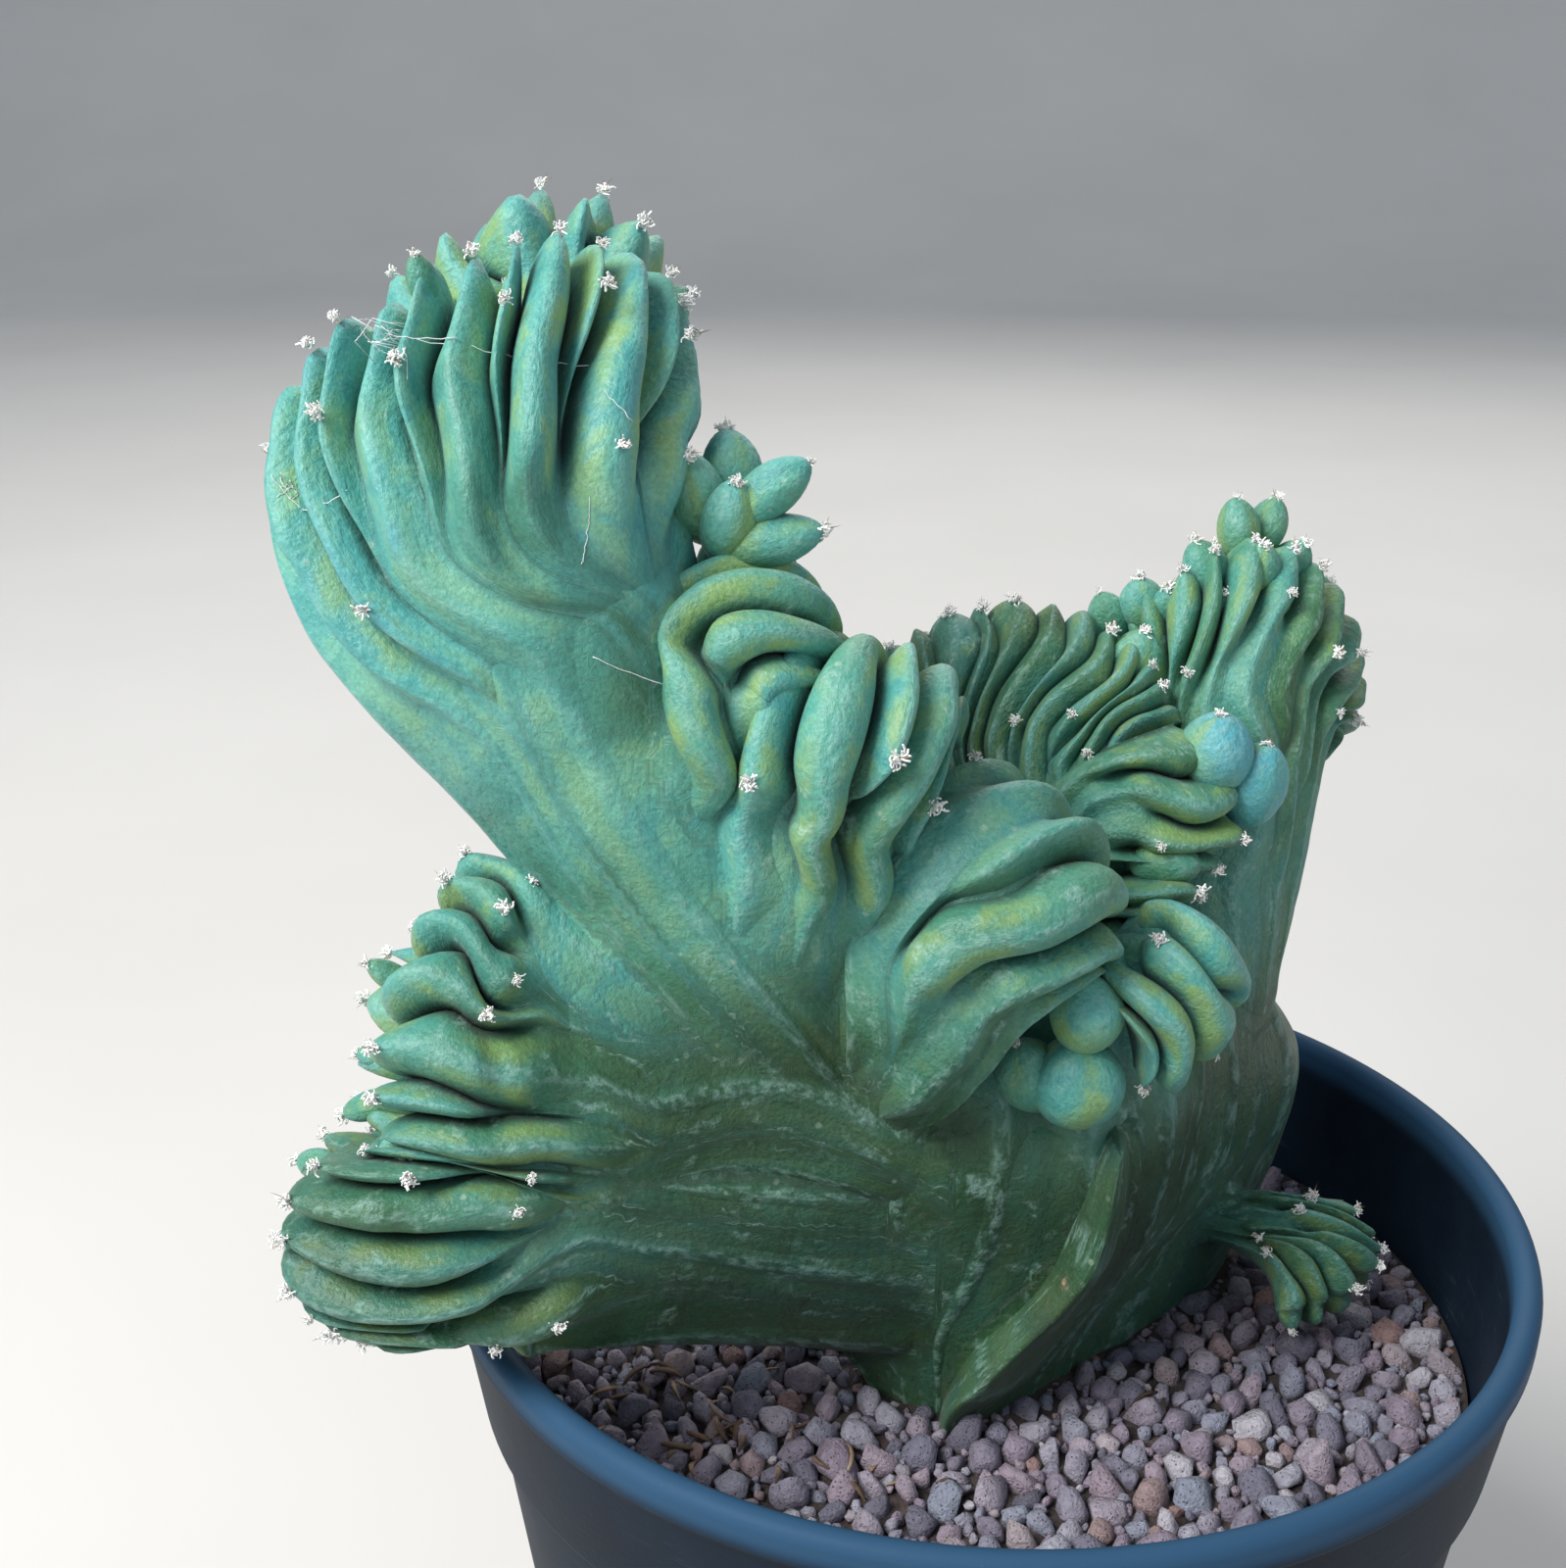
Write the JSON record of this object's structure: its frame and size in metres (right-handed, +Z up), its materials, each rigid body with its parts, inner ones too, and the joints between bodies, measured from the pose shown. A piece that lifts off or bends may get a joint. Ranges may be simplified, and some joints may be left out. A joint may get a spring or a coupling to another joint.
{
  "type": "potted crested blue candle cactus",
  "caption": "Blue-green crested cactus with ribbed, folded fan lobes, standing in grit in a round black nursery pot.",
  "frame": {"origin": "centre of the pot's flat underside, on the surface it stands on", "axes": "+Z up along the pot's axis, -Y towards the plant's front, +X to the viewer's right"},
  "size_m": [0.1167, 0.105, 0.1874],
  "materials": {
    "cactus_skin": "waxy plant skin, blue-green with a pale bloom and olive patches, soft sheen",
    "grit_stone": "dry porous lava and pumice grit, grey to mauve, matt",
    "pot_plastic": "blue-black moulded plastic with a soft sheen and light scuffs"
  },
  "bodies": {
    "root": {"cactus": "cactus_skin", "grit": "grit_stone", "pot": "pot_plastic"}
  },
  "joints": []
}
